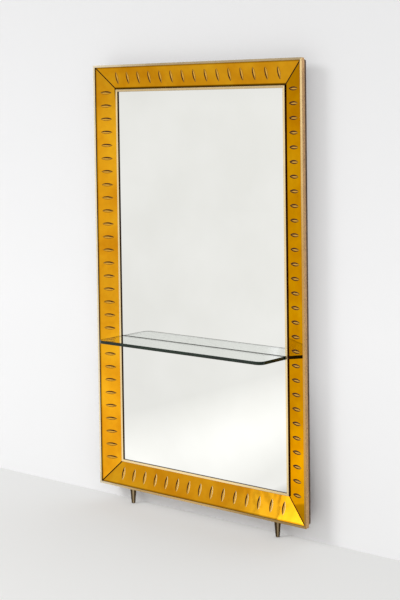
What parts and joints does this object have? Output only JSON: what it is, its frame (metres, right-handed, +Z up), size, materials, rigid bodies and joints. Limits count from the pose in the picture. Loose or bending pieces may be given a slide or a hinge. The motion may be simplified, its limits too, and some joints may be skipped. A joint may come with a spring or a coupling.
{
  "type": "pier mirror",
  "caption": "Tall pier mirror: inclined strips of engraved amber mirror glass with mitred corners, brass lip and bead, a clear glass shelf across the plate and tapered brass feet.",
  "frame": {"origin": "on the floor, midway between the two sides and midway from the shelf's front edge to the back of the wall pads", "axes": "+X to the viewer's right as one faces the mirror, +Y from the front to the wall, +Z up"},
  "size_m": [1, 0.1782, 1.703],
  "materials": {
    "amber_mirror_glass": "amber tinted mirror glass, slightly mottled, engraved",
    "silver_mirror_glass": "polished silvered glass",
    "shelf_glass": "clear float glass with a green edge, polished",
    "brass": "polished, lightly aged",
    "dark_wood": "stained dark, satin",
    "panel_wood": "plain plywood, unfinished",
    "felt": "dense felt",
    "steel": "plain zinc-plated"
  },
  "bodies": {
    "frame": {"back_panel_lower": "panel_wood", "back_panel_upper": "panel_wood", "brad_left_1": "steel", "brad_left_2": "steel", "brad_left_3": "steel", "brad_left_4": "steel", "brad_left_5": "steel", "brad_left_6": "steel", "brad_right_1": "steel", "brad_right_2": "steel", "brad_right_3": "steel", "brad_right_4": "steel", "brad_right_5": "steel", "brad_right_6": "steel", "brass_bead_bottom": "brass", "brass_bead_left": "brass", "brass_bead_right": "brass", "brass_bead_top": "brass", "brass_edging_bottom": "brass", "brass_edging_left": "brass", "brass_edging_right": "brass", "brass_edging_top": "brass", "corner_plate_left_lower": "steel", "corner_plate_left_upper": "steel", "corner_plate_right_lower": "steel", "corner_plate_right_upper": "steel", "hanger_screw_left_lower": "steel", "hanger_screw_left_upper": "steel", "hanger_screw_right_lower": "steel", "hanger_screw_right_upper": "steel", "hanger_strap_left": "brass", "hanger_strap_right": "brass", "mirror_lower": "silver_mirror_glass", "mirror_upper": "silver_mirror_glass", "rail_bottom": "dark_wood", "rail_top": "dark_wood", "shelf_bed": "felt", "shelf_rail": "dark_wood", "stile_left": "dark_wood", "stile_right": "dark_wood", "tinted_strip_bottom": "amber_mirror_glass", "tinted_strip_left": "amber_mirror_glass", "tinted_strip_right": "amber_mirror_glass", "tinted_strip_top": "amber_mirror_glass", "wall_pad_left_lower": "felt", "wall_pad_left_upper": "felt", "wall_pad_right_lower": "felt", "wall_pad_right_upper": "felt"},
    "shelf": {"shelf": "shelf_glass"},
    "foot_carrier_left": {"foot_washer_left": "steel"},
    "foot_left": {"foot_left": "brass", "foot_stud_left": "steel"},
    "foot_carrier_right": {"foot_washer_right": "steel"},
    "foot_right": {"foot_right": "brass", "foot_stud_right": "steel"},
    "ring_left": {"hanger_ring_left": "brass"},
    "ring_right": {"hanger_ring_right": "brass"}
  },
  "joints": [
    {"name": "shelf_slide", "type": "slide", "parent": "frame", "child": "shelf", "axis": [0, -1, 0], "range_m": [0, 0.016]},
    {"name": "foot_travel_left", "type": "slide", "parent": "frame", "child": "foot_carrier_left", "axis": [0, 0, -1], "range_m": [0, 0.00375]},
    {"name": "foot_turn_left", "type": "hinge", "parent": "foot_carrier_left", "child": "foot_left", "pos_m": [-0.351, 0.05185, 0.04], "axis": [0, 0, -1], "range_deg": [0, 1080]},
    {"name": "foot_travel_right", "type": "slide", "parent": "frame", "child": "foot_carrier_right", "axis": [0, 0, -1], "range_m": [0, 0.00375]},
    {"name": "foot_turn_right", "type": "hinge", "parent": "foot_carrier_right", "child": "foot_right", "pos_m": [0.351, 0.05185, 0.04], "axis": [0, 0, -1], "range_deg": [0, 1080]},
    {"name": "ring_hinge_left", "type": "hinge", "parent": "frame", "child": "ring_left", "pos_m": [-0.434, 0.08345, 1.413], "axis": [1, 0, 0], "range_deg": [0, 170]},
    {"name": "ring_hinge_right", "type": "hinge", "parent": "frame", "child": "ring_right", "pos_m": [0.434, 0.08345, 1.413], "axis": [1, 0, 0], "range_deg": [0, 170]}
  ],
  "couplings": [
    {"joint": "foot_turn_left", "follows": "foot_travel_left", "rad_per_m": 5026.5},
    {"joint": "foot_turn_right", "follows": "foot_travel_right", "rad_per_m": 5026.5}
  ]
}
